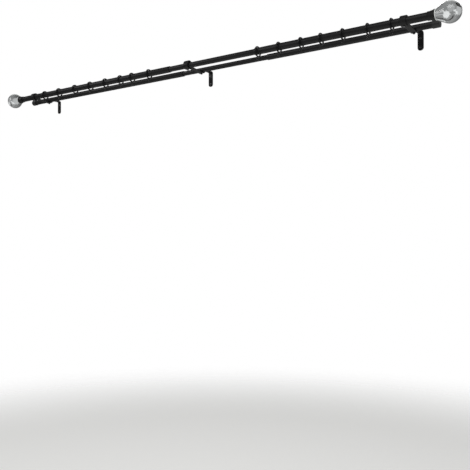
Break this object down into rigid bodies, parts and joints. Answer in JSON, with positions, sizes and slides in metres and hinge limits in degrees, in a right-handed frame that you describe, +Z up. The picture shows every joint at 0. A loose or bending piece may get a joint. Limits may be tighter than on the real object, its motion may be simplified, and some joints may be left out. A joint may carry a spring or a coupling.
{
  "type": "extendable curtain rod",
  "caption": "Double telescopic curtain rod in black coated steel with clear glass ball finials, bent strip wall brackets and sliding curtain rings.",
  "frame": {"origin": "on the wall, midway between the two screw holes of the centre bracket", "axes": "+X along the rods to the right as seen from the room, +Y into the wall, +Z up"},
  "size_m": [2.381, 0.197, 0.0985],
  "materials": {
    "black_coat": "satin black powder coat",
    "black_ring": "satin black lacquer",
    "black_screw": "black oxide",
    "black_plastic": "moulded matt black",
    "glide_plastic": "natural nylon",
    "clear_glass": "polished clear glass"
  },
  "bodies": {
    "bracket_frame": {"bracket_left": "black_coat", "front_lock_screw_left": "black_screw", "rear_lock_screw_left": "black_screw", "bracket_centre": "black_coat", "front_lock_screw_centre": "black_screw", "rear_lock_screw_centre": "black_screw", "bracket_right": "black_coat", "front_lock_screw_right": "black_screw", "rear_lock_screw_right": "black_screw", "front_inner_tube": "black_coat", "front_glide_left": "glide_plastic", "front_glide_right": "glide_plastic", "rear_inner_tube": "black_coat", "rear_glide_left": "glide_plastic", "rear_glide_right": "glide_plastic"},
    "front_left": {"front_outer_tube_left": "black_coat", "finial_collar_left": "black_coat", "finial_ball_left": "clear_glass"},
    "front_right": {"front_outer_tube_right": "black_coat", "finial_collar_right": "black_coat", "finial_ball_right": "clear_glass"},
    "rear_left": {"rear_outer_tube_left": "black_coat", "rear_cap_left": "black_plastic"},
    "rear_right": {"rear_outer_tube_right": "black_coat", "rear_cap_right": "black_plastic"},
    "ring_01": {"curtain_ring_01": "black_ring"},
    "ring_02": {"curtain_ring_02": "black_ring"},
    "ring_03": {"curtain_ring_03": "black_ring"},
    "ring_04": {"curtain_ring_04": "black_ring"},
    "ring_05": {"curtain_ring_05": "black_ring"},
    "ring_06": {"curtain_ring_06": "black_ring"},
    "ring_07": {"curtain_ring_07": "black_ring"},
    "ring_08": {"curtain_ring_08": "black_ring"},
    "ring_09": {"curtain_ring_09": "black_ring"},
    "ring_10": {"curtain_ring_10": "black_ring"},
    "ring_11": {"curtain_ring_11": "black_ring"},
    "ring_12": {"curtain_ring_12": "black_ring"},
    "ring_13": {"curtain_ring_13": "black_ring"},
    "ring_14": {"curtain_ring_14": "black_ring"},
    "ring_15": {"curtain_ring_15": "black_ring"}
  },
  "joints": [
    {"name": "front_left_extend", "type": "slide", "parent": "bracket_frame", "child": "front_left", "axis": [-1, 0, 0], "range_m": [-0.07, 0.2]},
    {"name": "front_right_extend", "type": "slide", "parent": "bracket_frame", "child": "front_right", "axis": [1, 0, 0], "range_m": [-0.06, 0.2]},
    {"name": "rear_left_extend", "type": "slide", "parent": "bracket_frame", "child": "rear_left", "axis": [-1, 0, 0], "range_m": [-0.07, 0.2]},
    {"name": "rear_right_extend", "type": "slide", "parent": "bracket_frame", "child": "rear_right", "axis": [1, 0, 0], "range_m": [-0.05, 0.2]},
    {"name": "ring_01_slide", "type": "slide", "parent": "bracket_frame", "child": "ring_01", "axis": [1, 0, 0], "range_m": [-0.0655, 0.0465]},
    {"name": "ring_02_slide", "type": "slide", "parent": "bracket_frame", "child": "ring_02", "axis": [1, 0, 0], "range_m": [-0.0465, 0.0515]},
    {"name": "ring_03_slide", "type": "slide", "parent": "bracket_frame", "child": "ring_03", "axis": [1, 0, 0], "range_m": [-0.0515, 0.0465]},
    {"name": "ring_04_slide", "type": "slide", "parent": "bracket_frame", "child": "ring_04", "axis": [1, 0, 0], "range_m": [-0.0465, 0.044]},
    {"name": "ring_05_slide", "type": "slide", "parent": "bracket_frame", "child": "ring_05", "axis": [1, 0, 0], "range_m": [-0.044, 0.0415]},
    {"name": "ring_06_slide", "type": "slide", "parent": "bracket_frame", "child": "ring_06", "axis": [1, 0, 0], "range_m": [-0.0415, 0.029]},
    {"name": "ring_07_slide", "type": "slide", "parent": "bracket_frame", "child": "ring_07", "axis": [1, 0, 0], "range_m": [-0.029, 0.044]},
    {"name": "ring_08_slide", "type": "slide", "parent": "bracket_frame", "child": "ring_08", "axis": [1, 0, 0], "range_m": [-0.044, 0.2055]},
    {"name": "ring_09_slide", "type": "slide", "parent": "bracket_frame", "child": "ring_09", "axis": [1, 0, 0], "range_m": [-0.3375, 0.04]},
    {"name": "ring_10_slide", "type": "slide", "parent": "bracket_frame", "child": "ring_10", "axis": [1, 0, 0], "range_m": [-0.04, 0.04]},
    {"name": "ring_11_slide", "type": "slide", "parent": "bracket_frame", "child": "ring_11", "axis": [1, 0, 0], "range_m": [-0.04, 0.0335]},
    {"name": "ring_12_slide", "type": "slide", "parent": "bracket_frame", "child": "ring_12", "axis": [1, 0, 0], "range_m": [-0.0335, 0.0355]},
    {"name": "ring_13_slide", "type": "slide", "parent": "bracket_frame", "child": "ring_13", "axis": [1, 0, 0], "range_m": [-0.0355, 0.0395]},
    {"name": "ring_14_slide", "type": "slide", "parent": "bracket_frame", "child": "ring_14", "axis": [1, 0, 0], "range_m": [-0.0395, 0.035]},
    {"name": "ring_15_slide", "type": "slide", "parent": "bracket_frame", "child": "ring_15", "axis": [1, 0, 0], "range_m": [-0.035, 0.0245]}
  ]
}
